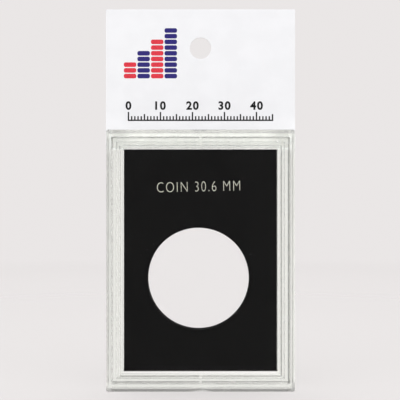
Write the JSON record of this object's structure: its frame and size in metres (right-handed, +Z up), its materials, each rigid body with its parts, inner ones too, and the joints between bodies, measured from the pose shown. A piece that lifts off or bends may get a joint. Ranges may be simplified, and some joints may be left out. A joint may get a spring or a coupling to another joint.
{
  "type": "coin holder",
  "caption": "Clear rectangular press-together coin case with a black insert plate holding one round coin, and a white hang card bonded to its back.",
  "frame": {"origin": "middle of the width and depth, at the lower edge that the case stands on", "axes": "+Z up along the case's height, +X to the right seen from the front, the window faces -Y"},
  "size_m": [0.0592, 0.0102, 0.1175],
  "materials": {
    "clear_acrylic_back": "polished",
    "clear_acrylic_front": "polished",
    "black_plastic": "satin",
    "white_board": "satin"
  },
  "bodies": {
    "back": {"back_cover": "clear_acrylic_back", "hang_card": "white_board"},
    "insert": {"insert_plate": "black_plastic"},
    "front": {"front_cover": "clear_acrylic_front"}
  },
  "joints": [
    {"name": "insert_lift", "type": "slide", "parent": "back", "child": "insert", "axis": [0, -1, 0], "range_m": [0, 0.03]},
    {"name": "cover_lift", "type": "slide", "parent": "insert", "child": "front", "axis": [0, -1, 0], "range_m": [0, 0.03]}
  ]
}
